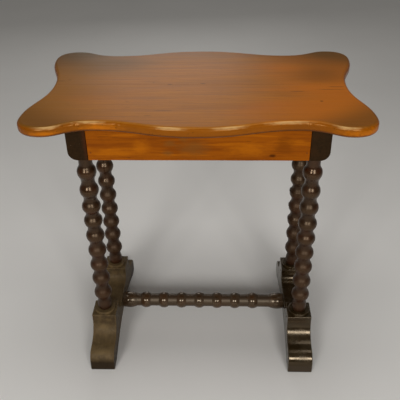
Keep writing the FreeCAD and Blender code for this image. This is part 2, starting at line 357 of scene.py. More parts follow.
@dataclass(frozen=True)
class Layer:
    """One colour that is laid where a figure goes from a low value, with none of it, to a high one."""

    figure: Socket
    low: float
    high: float
    colour: str
    strength: float = 1.0


class Tree:
    """Node tree of one finish, which reads places in the table's own frame."""

    def __init__(self, name: str) -> None:
        """Start an empty material.

        Args:
            name: Name of the material.
        """
        self.material = bpy.data.materials.new(name)
        self.material.use_nodes = True
        self.material.node_tree.nodes.clear()
        self.place = self.add("ShaderNodeTexCoord", {}, "Object")
        self.x, self.y, self.z = self.add("ShaderNodeSeparateXYZ", {"Vector": self.place}).node.outputs

    def add(self, kind: str, inputs: dict[str | int, object], output: str = "",
            **settings: object) -> Socket | None:
        """Add a node with its settings and links.

        Args:
            kind: Blender's name of the node's type.
            inputs: Value, or socket to link, for each input by its name or number.
            output: Name of the wanted output, or nothing for the first one in use.
            settings: Values of the node's own properties.

        Returns:
            The wanted output of the new node, or nothing where it has none.
        """
        tree = self.material.node_tree
        node = tree.nodes.new(kind)
        for name, value in settings.items():
            setattr(node, name, value)
        names = [socket.name if socket.enabled else "" for socket in node.inputs]
        for key, value in inputs.items():
            socket = node.inputs[key if isinstance(key, int) else names.index(key)]
            if isinstance(value, Socket):
                tree.links.new(value, socket)
            else:
                socket.default_value = value
        if output:
            return node.outputs[output]
        return next((socket for socket in node.outputs if socket.enabled), None)

    def number(self, operation: str, *values: Socket | float) -> Socket:
        """Reckon with numbers.

        Args:
            operation: Blender's name of the operation.
            values: What it works on, in order.

        Returns:
            The result.
        """
        return self.add("ShaderNodeMath", dict(enumerate(values)), operation=operation)

    def vector(self, operation: str, *values: Socket | Vector) -> Socket:
        """Reckon with vectors.

        Args:
            operation: Blender's name of the operation.
            values: What it works on, in order.

        Returns:
            The result.
        """
        return self.add("ShaderNodeVectorMath", dict(enumerate(values)), operation=operation)

    def scaled(self, value: Socket, reach: Sequence[float] = (0.0, 1.0),
               target: Sequence[float] = (0.0, 1.0), curve: str = "LINEAR") -> Socket:
        """Carry a value over from one range to another and hold it there.

        Args:
            value: The value.
            reach: Where the value begins to count, and where it counts in full.
            target: What comes out at those two.
            curve: Blender's name of the way from the one to the other.

        Returns:
            The value in the second range.
        """
        ends = dict(zip(("From Min", "From Max", "To Min", "To Max"), (*reach, *target)))
        return self.add("ShaderNodeMapRange", {"Value": value} | ends, interpolation_type=curve)

    def figure(self, size: Sequence[float], detail: float, shift: float = 0.0) -> Socket:
        """Uneven figure whose patches have a given size.

        Args:
            size: Length of a patch along X, Y and Z.
            detail: How many finer layers it has.
            shift: Distance to another part of the same endless figure.

        Returns:
            Values from 0 to 1, mostly near the middle.
        """
        scale = [1 / part for part in size]
        moved = {"Vector": self.place, "Location": (shift,) * 3, "Scale": scale}
        place = self.add("ShaderNodeMapping", moved)
        return self.add("ShaderNodeTexNoise", {"Vector": place, "Scale": 1.0, "Detail": detail})

    def grain(self, axis: Axis, length: float, width: float, detail: float, shift: float = 0.0) -> Socket:
        """Figure of streaks that are long along one axis and narrow across it."""
        return self.figure([length if axis is other else width for other in Axis], detail, shift)

    def spot(self, mark: Mark, ragged: Socket) -> Socket:
        """Distance from the middle of a mark with a ragged rim.

        Args:
            mark: Place and size of the mark.
            ragged: Figure that makes its rim uneven.

        Returns:
            Values under 1 inside the mark, and over 1.5 well outside it.
        """
        scale = [1 / (part * MM) for part in mark.reach]
        shift = [-place * MM * part for place, part in zip(mark.middle, scale)]
        moved = self.add("ShaderNodeMapping", {"Vector": self.place, "Location": shift, "Scale": scale})
        return self.number("ADD", self.vector("LENGTH", moved), ragged)

    def marks(self, marks: Sequence[Mark], ragged: Socket, colour: str, strength: float) -> list[Layer]:
        """Layers that draw a number of small marks in one colour."""
        return [Layer(self.spot(mark, ragged), 1.5, 0.9, colour, strength) for mark in marks]

    def patches(self, marks: Sequence[Mark], ragged: Socket, colour: str, strength: float) -> list[Layer]:
        """Layers that draw a number of broad patches in one colour, which fades out slowly."""
        return [Layer(self.spot(mark, ragged), 1.8, 0.6, colour, strength) for mark in marks]

    def off_axis(self, middle: Vector, across: Vector) -> Socket:
        """Distance from an axis and from its mirror images at the other ends and sides of the table.

        Args:
            middle: A point on the axis, on the side where no coordinate is negative.
            across: 1 for each coordinate across the axis, 0 for the one along it.

        Returns:
            The distance in metres.
        """
        moved = self.vector("SUBTRACT", self.vector("ABSOLUTE", self.place), middle)
        return self.vector("LENGTH", self.vector("MULTIPLY", moved, across))

    def facing(self, axis: Axis) -> Socket:
        """How squarely the surface faces along an axis, either way.

        Args:
            axis: The axis.

        Returns:
            Values from 0 for not at all to 1 for fully.
        """
        normal = self.add("ShaderNodeNewGeometry", {}, "Normal")
        part = self.add("ShaderNodeSeparateXYZ", {"Vector": normal}).node.outputs[axis.value]
        return self.number("ABSOLUTE", part)

    def rim(self, axis: Axis) -> Socket:
        """Rounded edge of the faces that look along an axis.

        Args:
            axis: The axis.

        Returns:
            Values up to 1/4 on the middle of the edge, and 0 on the faces beside it.
        """
        part = self.facing(axis)
        return self.number("MULTIPLY", part, self.number("SUBTRACT", 1.0, part))

    def lay(self, ground: str, layers: Sequence[Layer]) -> Socket:
        """Lay colours over a ground, one after the other.

        Args:
            ground: Colour below all the layers.
            layers: What is laid over it, the lowest first.

        Returns:
            The colour that shows.
        """
        colour: Socket | tuple[float, ...] = linear(ground)
        for layer in layers:
            share = self.scaled(layer.figure, (layer.low, layer.high), (0.0, layer.strength), "SMOOTHSTEP")
            mix = {"Factor": share, "A": colour, "B": linear(layer.colour)}
            colour = self.add("ShaderNodeMix", mix, data_type="RGBA")
        return colour

    def close(self, colour: Socket, roughness: Socket, height: Socket, depth: float,
              **constants: object) -> bpy.types.Material:
        """Close the tree with its shader.

        Args:
            colour: The base colour.
            roughness: The roughness.
            height: Relief of the surface, as a share of its depth.
            depth: Depth of the relief in metres.
            constants: Values that are the same all over, by the shader's input names with _ for a space.

        Returns:
            The finished material.
        """
        bump = self.add("ShaderNodeBump", {"Height": height, "Distance": depth})
        inputs = {"Base Color": colour, "Roughness": roughness, "Normal": bump}
        inputs |= {name.replace("_", " "): value for name, value in constants.items()}
        shader = self.add("ShaderNodeBsdfPrincipled", inputs)
        self.add("ShaderNodeOutputMaterial", {"Surface": shader})
        return self.material


@dataclass(frozen=True)
class Pine:
    """Plain-sawn pine under shellac, with its grain along X.

    To the eye it is warm brown with long soft streaks, fine darker lines between them and short dark flecks
    of resin.
    """

    name: str
    ground: str
    dark: str
    light: str
    streak_length: float = 190 * MM
    streak_width: float = 8 * MM
    line_length: float = 75 * MM
    # A growth ring's late wood is under a millimetre wide, so it is drawn coarser to show in the render
    line_width: float = 2.4 * MM
    fleck_length: float = 16 * MM
    fleck_width: float = 1.3 * MM
    fleck_colour: str = "#4A2A0A"

    def grain_layers(self, tree: Tree) -> list[Layer]:
        """Layers of streaks, lines and flecks.

        Args:
            tree: Tree that they are added to.

        Returns:
            The layers, with the figure of the streaks in the first of them.
        """
        streaks = tree.grain(Axis.X, self.streak_length, self.streak_width, detail=3.0)
        broad = tree.grain(Axis.X, 2 * self.streak_length, 3 * self.streak_width, detail=1.0, shift=4.4)
        lines = tree.grain(Axis.X, self.line_length, self.line_width, detail=2.0)
        flecks = tree.grain(Axis.X, self.fleck_length, self.fleck_width, detail=1.0, shift=1.3)
        return [
            Layer(streaks, 0.5, 0.3, self.dark, 0.8),
            Layer(streaks, 0.52, 0.7, self.light, 0.6),
            Layer(broad, 0.45, 0.7, self.dark, 0.5),
            Layer(lines, 0.5, 0.68, self.dark, 0.7),
            Layer(flecks, 0.67, 0.74, self.fleck_colour, 0.45),
        ]


@dataclass(frozen=True)
class TopShellac(Pine):
    """Shellac on the top.

    To the eye it is brown and satin on the flat, where it is rubbed thin, and amber and glossy on the rounded
    edge, where it is thick.
    """

    left_tint: str = "#8C5A1C"
    right_tint: str = "#BC6408"
    # Colour of the painted shade along the rear and towards the corners
    painted_outer_shade: str = "#6C430E"
    # Colour of the painted shade in the patches at the rear
    shade_tint: str = "#45340F"
    edge_tint: str = "#884704"
    painted_under_edge_shade: str = "#4A2204"
    stain_colour: str = "#3C2610"
    knot_colour: str = "#3A1C08"
    bright_tint: str = "#CC7004"
    dull_tint: str = "#78400A"
    edge_highlight_tint: str = "#F4CE8C"
    nick_colour: str = "#3A1E06"
    underside: str = "#7A5A36"
    sheen: str = "#EEBC78"
    relief: float = 0.25 * MM
    drift_length: float = 260 * MM
    drift_width: float = 70 * MM
    ragged_size: tuple[float, float, float] = (12 * MM, 4 * MM, 4 * MM)
    nick_size: tuple[float, float, float] = (9 * MM, 6 * MM, 5 * MM)
    # Where the tints of the left end, the right end and the rear begin, and where they are full
    left_reach: tuple[float, float] = (0.0, -220 * MM)
    right_reach: tuple[float, float] = (220 * MM, 420 * MM)
    rear_reach: tuple[float, float] = (90 * MM, 230 * MM)
    # How much the borders of the end tints lean with the depth of the top, and how much they wander
    border_lean: float = -0.3
    border_wander: float = 0.25
    # How squarely the surface faces up where the edge begins and where it is full, and the same for the flat
    edge_facing: tuple[float, float] = (0.97, 0.6)
    flat_facing: tuple[float, float] = (0.88, 0.99)
    # Roughness on the edge and on the flat
    roughness: tuple[float, float] = (0.24, 0.46)
    half_length: float = 377 * MM
    half_depth: float = 230 * MM
    under_level: float = 713 * MM
    shades: tuple[Mark, ...] = ()
    stains: tuple[Mark, ...] = ()
    knots: tuple[Mark, ...] = ()
    painted_edge_highlights: tuple[Mark, ...] = ()
    bright_edge: tuple[Mark, ...] = ()
    dull_edge: tuple[Mark, ...] = ()

    def material(self) -> bpy.types.Material:
        """Build the finish.

        Returns:
            The material.
        """
        tree = Tree(self.name)
        layers = self.grain_layers(tree)
        streaks = layers[0].figure
        ragged = tree.figure(self.ragged_size, detail=2.0)
        drift = tree.grain(Axis.X, self.drift_length, self.drift_width, detail=1.0, shift=3.7)
        askew = tree.number("MULTIPLY_ADD", tree.y, self.border_lean, tree.x)
        along = tree.number("MULTIPLY_ADD", drift, self.border_wander, askew)
        shares = (1 / self.half_length, 1 / self.half_depth, 0)
        spread = tree.add("ShaderNodeMapping", {"Vector": tree.place, "Scale": shares})
        outward = tree.vector("LENGTH", spread)
        level = tree.facing(Axis.Z)
        on_edge = tree.scaled(level, self.edge_facing, curve="SMOOTHSTEP")
        off_round = tree.scaled(level, self.flat_facing, (0.0, 2.0))
        ragged_round = tree.number("ADD", ragged, off_round)
        nicks = tree.figure(self.nick_size, detail=2.0, shift=6.1)
        edge_nicks = tree.number("MULTIPLY", nicks, on_edge)
        layers += [
            # The left end is greyer and the right end more orange: partly the wood's own tone, partly painted
            # reflection, as the left reflects a darker part of the room and the right less of it
            Layer(along, *self.left_reach, self.left_tint, 0.85),
            Layer(along, *self.right_reach, self.right_tint, 0.7),
            # Painted shade: darker along the rear and towards the rim and corners, standing in for weaker
            # light and a darker reflection there
            Layer(tree.y, *self.rear_reach, self.painted_outer_shade, 0.55),
            Layer(outward, 0.92, 1.25, self.painted_outer_shade, 0.8),
            # Painted shade: darker patches at the rear, where the top reflects a darker part of the room
            *tree.patches(self.shades, drift, self.shade_tint, 0.5),
            *tree.marks(self.stains, ragged, self.stain_colour, 0.75),
            *tree.marks(self.knots, ragged, self.knot_colour, 0.9),
            Layer(on_edge, 0.0, 1.0, self.edge_tint, 0.8),
            *tree.patches(self.bright_edge, ragged, self.bright_tint, 0.7),
            *tree.patches(self.dull_edge, ragged, self.dull_tint, 0.7),
            # Painted highlights: pale patches on the upper round of the edge
            *tree.patches(self.painted_edge_highlights, ragged_round, self.edge_highlight_tint, 0.45),
            # Painted shade on the lower round of the edge, in the shadow of the overhang
            Layer(tree.z, self.under_level + 9 * MM, self.under_level + 2 * MM, self.painted_under_edge_shade, 0.85),
            Layer(edge_nicks, 0.66, 0.74, self.nick_colour, 0.6),
            Layer(tree.z, self.under_level + 1.5 * MM, self.under_level, self.underside),
        ]
        roughness = tree.scaled(tree.number("SUBTRACT", streaks, on_edge), (-0.6, 0.7), self.roughness)
        return tree.close(tree.lay(self.ground, layers), roughness, streaks, self.relief,
                          IOR=1.5, Specular_IOR_Level=0.4, Specular_Tint=linear(self.sheen))


@dataclass(frozen=True)
class RailShellac(Pine):
    """Shellac on the rails, thick and never rubbed.

    To the eye it is a clear orange amber with bright and dull patches and knots.
    """

    dull_tint: str = "#7A4C1E"
    shade_tint: str = "#6E3404"
    knot_colour: str = "#461C04"
    sheen: str = "#E8A850"
    relief: float = 0.2 * MM
    ragged_size: tuple[float, float, float] = (14 * MM, 14 * MM, 6 * MM)
    cloud_size: tuple[float, float, float] = (60 * MM, 60 * MM, 22 * MM)
    roughness: tuple[float, float] = (0.34, 0.5)
    bright: tuple[Mark, ...] = ()
    dull: tuple[Mark, ...] = ()
    shaded: tuple[Mark, ...] = ()
    knots: tuple[Mark, ...] = ()

    def material(self) -> bpy.types.Material:
        """Build the finish.

        Returns:
            The material.
        """
        tree = Tree(self.name)
        layers = self.grain_layers(tree)
        streaks = layers[0].figure
        ragged = tree.figure(self.ragged_size, detail=2.0)
        cloudy = tree.figure(self.cloud_size, detail=2.0, shift=8.3)
        layers += [
            Layer(cloudy, 0.5, 0.72, self.dark, 0.5),
            *tree.patches(self.bright, ragged, self.light, 0.7),
            *tree.patches(self.dull, ragged, self.dull_tint, 0.65),
            *tree.patches(self.shaded, ragged, self.shade_tint, 0.6),
            *tree.marks(self.knots, ragged, self.knot_colour, 0.85),
            Layer(tree.rim(Axis.Y), 0.08, 0.22, self.dark, 0.6),
        ]
        roughness = tree.scaled(cloudy, target=self.roughness)
        return tree.close(tree.lay(self.ground, layers), roughness, streaks, self.relief,
                          IOR=1.5, Specular_IOR_Level=0.25, Specular_Tint=linear(self.sheen))


@dataclass(frozen=True)
class Stain:
    """Beech under a nearly black stain and old varnish.

    To the eye it is a very dark brown with a reddish cast, half glossy, cloudy where hands and brooms dulled
    it, with a few pale specks where the varnish is chipped.
    """

    name: str
    dark: str
    light: str
    warm: str
    grain: Axis
    gloss: float = 0.32
    dullness: float = 0.2
    level: float = 0.35
    relief: float = 0.2 * MM
    sheen: str = "#F4E2CA"
    streak_length: float = 60 * MM
    streak_width: float = 5 * MM
    cloud_size: float = 40 * MM
    rub_size: float = 9 * MM
    speck_size: float = 4 * MM
    ragged_size: float = 3 * MM
    # Values of the dulling at which the varnish has its full gloss and none of it
    polished: float = 0.3
    dulled: float = 0.7
    red_tint: str = "#48240E"
    speck_colour: str = "#8C7A66"
    scratches: tuple[Mark, ...] = ()
    reddened: tuple[Mark, ...] = ()

    def own_layers(self, tree: Tree) -> list[Layer]:
        """Layers of the wear that only this kind of piece has."""
        return [Layer(tree.rim(axis), 0.1, 0.24, self.warm, 0.7) for axis in (Axis.X, Axis.Z)]

    def dulling(self, tree: Tree, cloudy: Socket) -> Socket:
        """How far the gloss is gone, which for most pieces is the cloudy figure of the varnish itself."""
        return cloudy

    def material(self) -> bpy.types.Material:
        """Build the finish.

        Returns:
            The material, with its grain along its axis.
        """
        tree = Tree(self.name)
        streaks = tree.grain(self.grain, self.streak_length, self.streak_width, detail=3.0)
        clouds = tree.figure((self.cloud_size,) * 3, detail=2.0, shift=2.1)
        rubs = tree.figure((self.rub_size,) * 3, detail=3.0, shift=5.2)
        specks = tree.figure((self.speck_size,) * 3, detail=1.0, shift=0.8)
        ragged = tree.figure((self.ragged_size,) * 3, detail=1.0)
        layers = [
            Layer(streaks, 0.35, 0.7, self.light, 0.8),
            Layer(clouds, 0.45, 0.7, self.warm, 0.7),
            *self.own_layers(tree),
            *tree.patches(self.reddened, ragged, self.red_tint, 0.7),
            Layer(specks, 0.77, 0.82, self.speck_colour, 0.6),
            *tree.marks(self.scratches, ragged, self.speck_colour, 0.7),
        ]
        roughness = tree.scaled(self.dulling(tree, rubs), (self.polished, self.dulled),
                                (self.gloss, self.gloss + self.dullness))
        return tree.close(tree.lay(self.dark, layers), roughness, streaks, self.relief,
                          IOR=1.5, Specular_IOR_Level=self.level, Specular_Tint=linear(self.sheen))


@dataclass(frozen=True)
class LegStain(Stain):
    """Stain on the legs: darker in the valleys, rubbed crowns, and redder and duller towards the floor."""

    axis_place: tuple[float, float] = (266 * MM, 99 * MM)
    valley: float = 16 * MM
    crown: float = 23 * MM
    darker_tint: str = "#1E0D05"
    low_tint: str = "#301508"
    # Heights at which the redder and the duller stretch begin, and at which they are full
    red_reach: tuple[float, float] = (500 * MM, 250 * MM)
    dull_reach: tuple[float, float] = (600 * MM, 200 * MM)
    # What is added to the dulling at those two heights
    dull_change: tuple[float, float] = (-0.12, 0.4)

    def own_layers(self, tree: Tree) -> list[Layer]:
        """Layers that darken the valleys, of rubbed crowns and of the redder lower end.

        Args:
            tree: Tree that they are added to.

        Returns:
            The layers.
        """
        radius = tree.off_axis(Vector((*self.axis_place, 0)), Vector((1, 1, 0)))
        return [
            Layer(tree.z, *self.red_reach, self.low_tint, 0.55),
            Layer(radius, self.crown - 2 * MM, self.crown, self.light, 0.5),
            # Darker in the valleys
            Layer(radius, self.valley + 4 * MM, self.valley - 1 * MM, self.darker_tint, 0.75),
        ]

    def dulling(self, tree: Tree, cloudy: Socket) -> Socket:
        """The varnish is duller towards the floor."""
        return tree.number("ADD", cloudy, tree.scaled(tree.z, self.dull_reach, self.dull_change))


@dataclass(frozen=True)
class RailStain(Stain):
    """Stain on the stretcher: polished by shoes, and darker in the valleys beside its beads."""

    axis_level: float = 62 * MM
    valley: float = 18.3 * MM
    crown: float = 23.5 * MM
    darker_tint: str = "#1C130A"

    def radius(self, tree: Tree) -> Socket:
        """Distance from the axis of the rail."""
        return tree.off_axis(Vector((0, 0, self.axis_level)), Vector((0, 1, 1)))

    def own_layers(self, tree: Tree) -> list[Layer]:
        """Layer that darkens the valleys beside the beads."""
        return [Layer(self.radius(tree), self.valley + 2.5 * MM, self.valley - 0.5 * MM, self.darker_tint, 0.35)]

    def dulling(self, tree: Tree, cloudy: Socket) -> Socket:
        """The crowns of the beads are polished, and what lies between them is dull."""
        return tree.scaled(self.radius(tree), (self.crown, self.valley + 1 * MM),
                           (self.polished, self.dulled))


@dataclass(frozen=True)
class ShoeStain(Stain):
    """Stain on the feet: paler on the rims, on what faces up and where shoes and brooms rub, partly wear and
    partly painted highlight.
    """

    pale_wear_and_highlight: str = "#75603F"
    darker_tint: str = "#231709"
    darkening_level: float = 40 * MM
    worn_and_highlit: tuple[Mark, ...] = ()
    spots: tuple[Mark, ...] = ()
    # Strength of the paler layers, which on the rims, on what faces up and in the patches is partly painted
    # highlight
    wear: float = 0.5
    wear_size: float = 16 * MM
    rim_size: float = 12 * MM

    def own_layers(self, tree: Tree) -> list[Layer]:
        """Layers of pale wear and painted highlight on the rims, on what faces up and in patches, of
        darkening near the floor, and of dark spots.

        Args:
            tree: Tree that they are added to.

        Returns:
            The layers.
        """
        broad = tree.figure((self.wear_size,) * 3, detail=2.0, shift=7.7)
        ragged = tree.figure((self.rim_size,) * 3, detail=2.0, shift=4.9)
        return [
            # Painted highlight as well as wear: paler on what faces up, on the rims and in the patches
            Layer(tree.facing(Axis.Z), 0.1, 0.8, self.pale_wear_and_highlight, 0.4 * self.wear),
            Layer(broad, 0.4, 0.7, self.pale_wear_and_highlight, 0.5 * self.wear),
            Layer(tree.rim(Axis.X), 0.08, 0.22, self.pale_wear_and_highlight, 0.6 * self.wear),
            *tree.patches(self.worn_and_highlit, ragged, self.pale_wear_and_highlight, self.wear),
            # Darker towards the floor
            Layer(tree.z, self.darkening_level, 0.6 * self.darkening_level, self.darker_tint, 0.9),
            *tree.marks(self.spots, ragged, self.dark, 0.8),
        ]


@dataclass(frozen=True)
class BareWood:
    """Unfinished old pine inside the frame: pale, dusty and dull to the eye."""

    name: str
    light: str = "#A98355"
    dark: str = "#6F512F"
    streak_length: float = 50 * MM
    streak_width: float = 3 * MM
    roughness: tuple[float, float] = (0.7, 0.9)
    relief: float = 0.2 * MM

    def material(self) -> bpy.types.Material:
        """Build the finish.

        Returns:
            The material, with its grain along X.
        """
        tree = Tree(self.name)
        streaks = tree.grain(Axis.X, self.streak_length, self.streak_width, detail=3.0)
        roughness = tree.scaled(streaks, target=self.roughness)
        colour = tree.lay(self.dark, [Layer(streaks, 0.3, 0.7, self.light)])
        return tree.close(colour, roughness, streaks, self.relief)


@dataclass(frozen=True)
class OldIron:
    """Iron nails and screws, browned with age.

    To the eye they are dull and dark under patches of rust or of the table's own shellac.
    """

    name: str
    dark: str
    rust: str
    metal: float
    level: float = 0.5
    patch_size: float = 2 * MM
    roughness: tuple[float, float] = (0.45, 0.7)
    relief: float = 0.1 * MM

    def material(self) -> bpy.types.Material:
        """Build the finish.

        Returns:
            The material.
        """
        tree = Tree(self.name)
        patches = tree.figure((self.patch_size,) * 3, detail=3.0)
        roughness = tree.scaled(patches, target=self.roughness)
        colour = tree.lay(self.dark, [Layer(patches, 0.4, 0.65, self.rust)])
        return tree.close(colour, roughness, patches, self.relief,
                          Metallic=self.metal, Specular_IOR_Level=self.level)


@dataclass(frozen=True)
class Dent:
    """One knock in an edge: its place, how deep it is and how far it reaches, in millimetres."""

    place: tuple[float, float, float]
    depth: float
    reach: float

    def press(self, piece: bpy.types.Object) -> None:
        """Press the dent into a piece.

        Args:
            piece: The object that was knocked.
        """
        edit(piece)
        facing = select_nearest(piece, Vector(self.place) * MM)
        bpy.ops.transform.translate(value=-facing * self.depth * MM, use_proportional_edit=True,
                                    proportional_edit_falloff="SMOOTH", proportional_size=self.reach * MM)
        deselect_all()


@dataclass
class PlankTop:
    """Serpentine top of two planks with a rounded edge. Its length, depth and levels come from the frame."""

    finish: TopShellac
    dents: tuple[Dent, ...] = ()
    dip_depth: float = 33 * MM
    dip_inset: float = 161 * MM
    lobe_inset: float = 54 * MM
    lobe_setback: float = 2.5 * MM
    scoop_depth: float = 35 * MM
    side_lobe_inset: float = 54 * MM
    upper_round: float = 9 * MM
    lower_round: float = 8 * MM
    joint_round: float = 0.15 * MM
    bulge_share: float = 0.5
    dip_inner_share: float = 0.42
    dip_outer_share: float = 0.55
    lobe_share: float = 0.4
    corner_share: float = 0.6
    side_lobe_share: float = 0.42
    side_scoop_share: float = 0.5
    steps_per_stretch: int = 72
    round_segments: int = 8

    def __post_init__(self) -> None:
        """Take the overall size from the front board of the frame."""
        low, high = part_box("top_board_front")
        self.half_length = high.x
        self.half_depth = -low.y
        self.underside = low.z
        self.level = high.z

    def quarter_line(self) -> bpy.types.Object:
        """Draw the outline from the middle of the front to the middle of the right side as a smooth curve.

        Returns:
            The line as a chain of edges, on the top's underside.
        """
        knots = [
            Vector((0, -self.half_depth, 0)),
            Vector((self.half_length - self.dip_inset, self.dip_depth - self.half_depth, 0)),
            Vector((self.half_length - self.lobe_inset, self.lobe_setback - self.half_depth, 0)),
            Vector((self.half_length, self.side_lobe_inset - self.half_depth, 0)),
            Vector((self.half_length - self.scoop_depth, 0, 0)),
        ]
        bulge, dip, lobe, shoulder, scoop = knots
        inner, outer, corner = dip.x - bulge.x, lobe.x - dip.x, shoulder - lobe
        side = scoop.y - shoulder.y
        along, back = Vector((1, 0, 0)), Vector((0, 1, 0))
        before = [along * 0, along * inner * self.dip_inner_share, along * outer * self.lobe_share,
                  back * corner.y * self.corner_share, back * side * self.side_scoop_share]
        after = [along * inner * self.bulge_share, along * outer * self.dip_outer_share,
                 along * corner.x * self.corner_share, back * side * self.side_lobe_share, back * 0]
        deselect_all()
        bpy.ops.curve.primitive_bezier_curve_add()
        line = bpy.context.object
        spline = line.data.splines[0]
        spline.bezier_points.add(len(knots) - len(spline.bezier_points))
        line.data.resolution_u = spline.resolution_u = self.steps_per_stretch
        for point, knot, way_in, way_out in zip(spline.bezier_points, knots, before, after):
            point.handle_left_type = point.handle_right_type = "FREE"
            point.co = knot
            point.handle_left = knot - way_in
            point.handle_right = knot + way_out
        bpy.ops.object.convert(target="MESH")
        line = bpy.context.object
        line.data.transform(Matrix.Translation((0, 0, self.underside)))
        return line

    def slab(self) -> bpy.types.Object:
        """Mirror the line into the whole outline and raise it to a slab with a rounded edge.

        Returns:
            The slab before it is parted into planks.
        """
        piece = self.quarter_line()
        apply_modifier(piece, "MIRROR", use_axis=(True, True, False), merge_threshold=NEAR)
        edit(piece)
        bpy.ops.mesh.remove_doubles(threshold=NEAR)
        bpy.ops.mesh.edge_face_add()
        thickness = self.level - self.underside
        bpy.ops.mesh.extrude_region_move(TRANSFORM_OT_translate={"value": (0, 0, thickness)})
        face_outward()
        for level, radius in ((self.level, self.upper_round), (self.underside, self.lower_round)):
            round_edges(piece, lambda edge: all(abs(v.co.z - level) < NEAR for v in edge.verts),
                        radius, self.round_segments)
        deselect_all()
        return piece

    def plank(self, slab: bpy.types.Object, row: Row) -> bpy.types.Object:
        """Cut one plank from a copy of the slab at the joint along its middle.

        Args:
            slab: The whole top.
            row: Which plank to keep.

        Returns:
            The plank.
        """
        make_active(slab)
        bpy.ops.object.duplicate(linked=False)
        piece = bpy.context.object
        piece.name = "plank_" + row.name.lower()
        edit(piece)
        keeps_front = row is Row.FRONT
        bpy.ops.mesh.bisect(plane_co=(0, 0, 0), plane_no=(0, 1, 0), use_fill=True,
                            clear_outer=keeps_front, clear_inner=not keeps_front)
        face_outward()
        round_edges(piece, lambda edge: all(abs(v.co.y) < NEAR and abs(v.co.z - self.level) < NEAR
                                            for v in edge.verts), self.joint_round, 1)
        deselect_all()
        return piece

    def build(self) -> None:
        """Build both planks, with the knocks in their edges."""
        slab = self.slab()
        material = self.finish.material()
        for row in Row:
            piece = self.plank(slab, row)
            for dent in self.dents:
                if dent.place[1] * row.value > 0:
                    dent.press(piece)
            finish_piece(piece, material, "top_board_" + row.name.lower())
        bpy.data.objects.remove(slab)


@dataclass
class ApronRails:
    """Long rails under the top, with softened and slightly worn edges. Their sizes come from the frame."""

    finish: RailShellac
    edge_round: float = 1.6 * MM
    edge_segments: int = 3
    cuts_along: int = 30
    hollow_size: float = 60 * MM
    hollow_depth: float = 0.5 * MM

    def build(self) -> None:
        """Build the front and the rear rail."""
        material = self.finish.material()
        for row in Row:
            node = "apron_" + row.name.lower()
            low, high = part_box(node)
            deselect_all()
            bpy.ops.mesh.primitive_cube_add(size=1, location=(low + high) / 2, scale=high - low)
            piece = bpy.context.object
            piece.name = "rail_" + row.name.lower()
            bpy.ops.object.transform_apply(location=True, rotation=True, scale=True)
            edit(piece)
            select_edges(piece, lambda edge: abs(edge.verts[0].co.x - edge.verts[1].co.x) > high.x)
            bpy.ops.mesh.subdivide(number_cuts=self.cuts_along)
            deselect_all()
            soften(piece, self.edge_round, self.edge_segments)
            uneven(piece, self.hollow_size, self.hollow_depth)
            finish_piece(piece, material, node)


@dataclass
class Bearers:
    """Dark beams over each pair of legs, rabbeted for the rails, with a rounded lower outer edge."""

    finish: Stain
    lower_round: float = 22 * MM
    lower_segments: int = 12
    edge_round: float = 1.5 * MM
    edge_segments: int = 3
    fit_gap: float = 0.15 * MM
    hollow_size: float = 40 * MM
    hollow_depth: float = 0.5 * MM

    def outline(self, side: Side) -> list[Vector]:
        """Plan of one beam on its underside, round its two rabbets.

        Args:
            side: Which beam.

        Returns:
            The corners, with the two of the outer side first.
        """
        low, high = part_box("bearer_" + side.name.lower())
        rail_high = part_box("apron_front")[1]
        outer = max(abs(low.x), abs(high.x))
        inner = min(abs(low.x), abs(high.x))
        rabbet = rail_high.x + self.fit_gap
        end = -low.y
        shoulder = -rail_high.y - self.fit_gap
        corners = [(outer, -end), (outer, end), (rabbet, end), (rabbet, shoulder),
                   (inner, shoulder), (inner, -shoulder), (rabbet, -shoulder), (rabbet, -end)]
        return [Vector((side.value * x, y, low.z)) for x, y in corners]

    def build(self) -> None:
        """Build both beams."""
        material = self.finish.material()
        for side in Side:
            node = "bearer_" + side.name.lower()
            low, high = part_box(node)
            outline = self.outline(side)
            piece = extrude_outline("beam_" + side.name.lower(), outline, Vector((0, 0, high.z - low.z)))
            outer = outline[0].x
            edit(piece)
            round_edges(piece, lambda edge: all((v.co - Vector((outer, v.co.y, low.z))).length < NEAR
                                                for v in edge.verts), self.lower_round, self.lower_segments)
            deselect_all()
            soften(piece, self.edge_round, self.edge_segments)
            uneven(piece, self.hollow_size, self.hollow_depth)
            finish_piece(piece, material, node)


@dataclass(frozen=True)
class Bead:
    """Section of a turned bead between two valleys."""

    half_width: float
    crown: float
    neck: float
    valley: float
    valley_steps: int = 6
    belly_steps: int = 12

    def profile(self, centre: float, low: float | None = None, high: float | None = None) -> list[Vector]:
        """Points along the bead in the plane of radius (X) and place on the axis (Z).

        Args:
            centre: Place of the bead's middle.
            low: Place where the bead is cut short below, if it is.
            high: Place where the bead is cut short above, if it is.

        Returns:
            Points from the lower to the upper end.
        """
        hollow = self.neck + self.valley
        rise = self.crown - self.neck
        belly = (self.half_width ** 2 + (hollow - self.crown) ** 2 - self.valley ** 2) / (2 * rise)
        middle = Vector((self.crown - belly, 0, centre))
        lower_hollow = Vector((hollow, 0, centre - self.half_width))
        upper_hollow = Vector((hollow, 0, centre + self.half_width))
        start = middle + (lower_hollow - middle).normalized() * belly
        finish = middle + (upper_hollow - middle).normalized() * belly
        lower_neck = Vector((self.neck, 0, lower_hollow.z))
        upper_neck = Vector((self.neck, 0, upper_hollow.z))
        below = arc(lower_hollow, lower_neck, start, self.valley_steps)[:-1]
        above = arc(upper_hollow, finish, upper_neck, self.valley_steps)[1:]
        if low is not None:
            start = middle + Vector((math.sqrt(belly ** 2 - (low - centre) ** 2), 0, low - centre))
            below = []
        if high is not None:
            finish = middle + Vector((math.sqrt(belly ** 2 - (high - centre) ** 2), 0, high - centre))
            above = []
        return below + arc(middle, start, finish, self.belly_steps) + above


